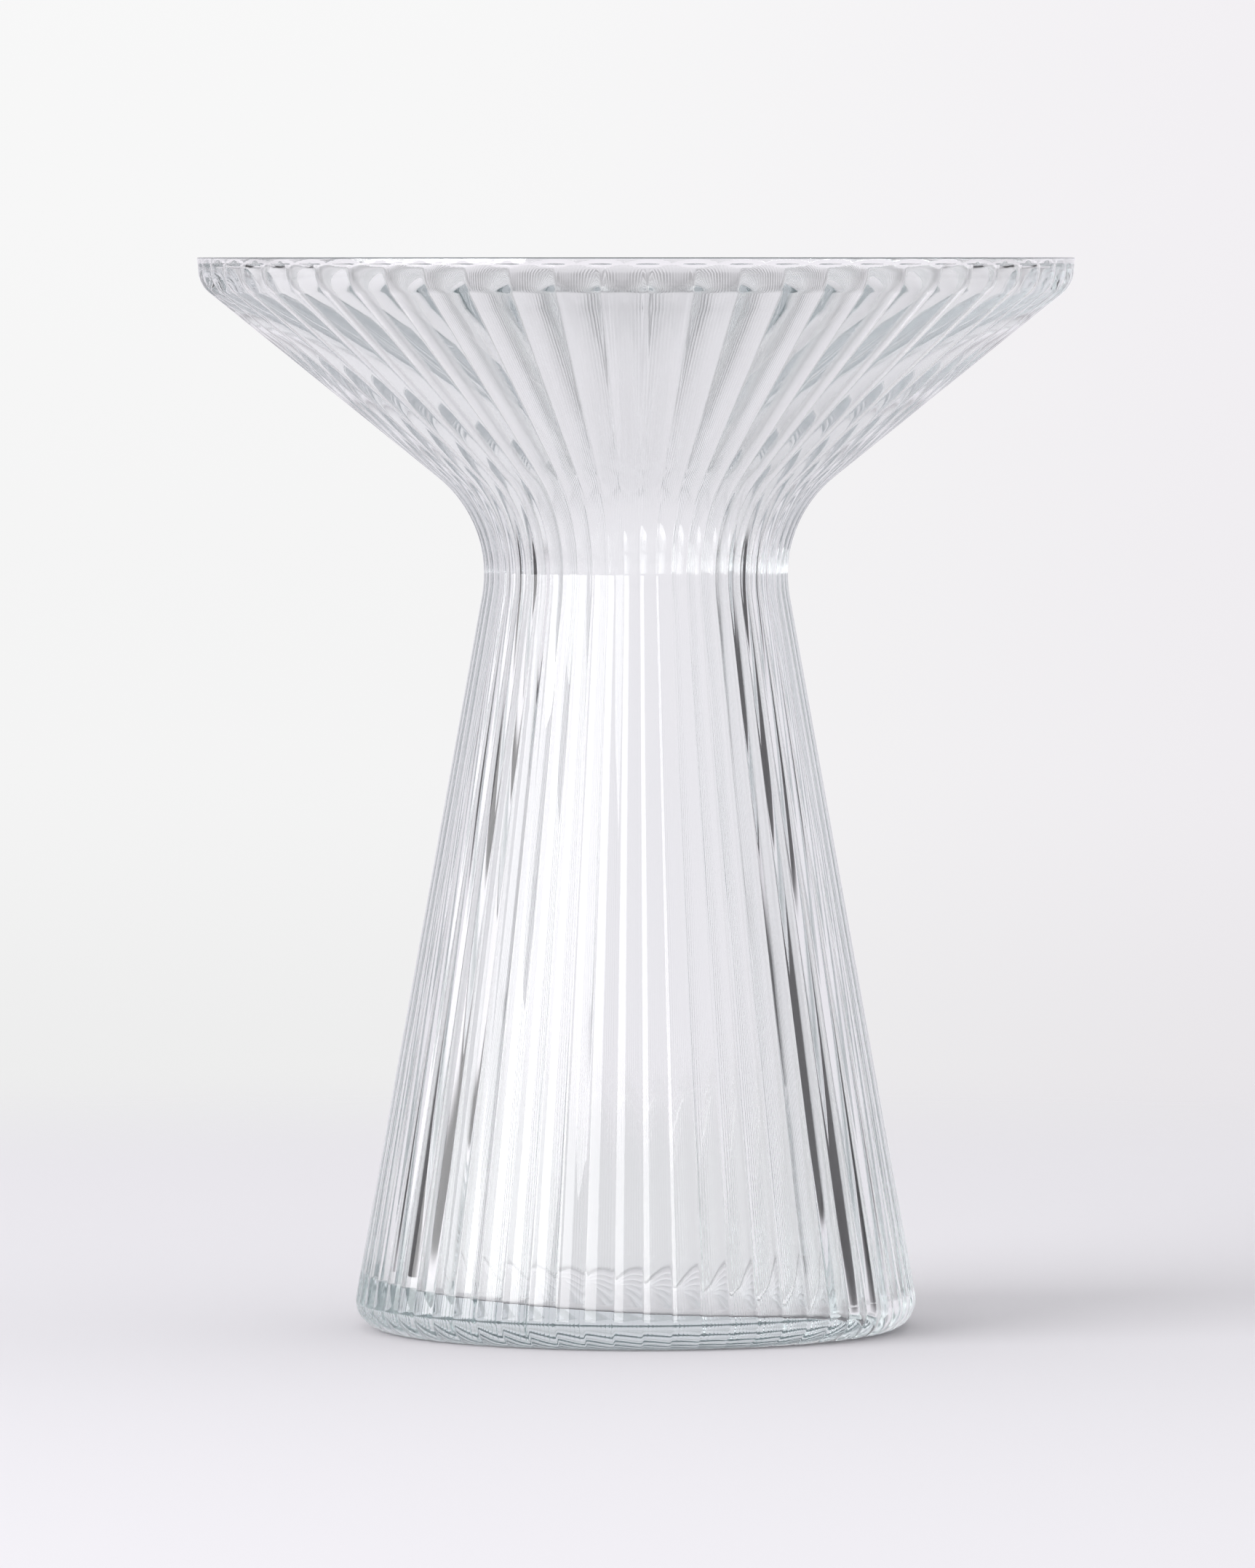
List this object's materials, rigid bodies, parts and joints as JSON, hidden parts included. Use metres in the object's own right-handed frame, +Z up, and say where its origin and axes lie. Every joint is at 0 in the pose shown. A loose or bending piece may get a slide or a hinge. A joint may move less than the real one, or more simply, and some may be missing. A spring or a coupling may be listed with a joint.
{
  "type": "fan vase",
  "caption": "Clear fluted glass vase with a tapering body, a narrow waist and a wide fan-shaped mouth, for cut flowers or dried stems.",
  "frame": {"origin": "centre of the standing ring, on the surface that the vase stands on", "axes": "+Z up along the vase's axis; a flute's crest lies on +X"},
  "size_m": [0.2044, 0.2044, 0.25],
  "materials": {
    "glass": "clear soda-lime glass, mould-blown, fire-polished, with a ground lip"
  },
  "bodies": {
    "root": {"foot": "glass", "body": "glass", "neck": "glass", "fan": "glass", "rim": "glass"}
  },
  "joints": []
}
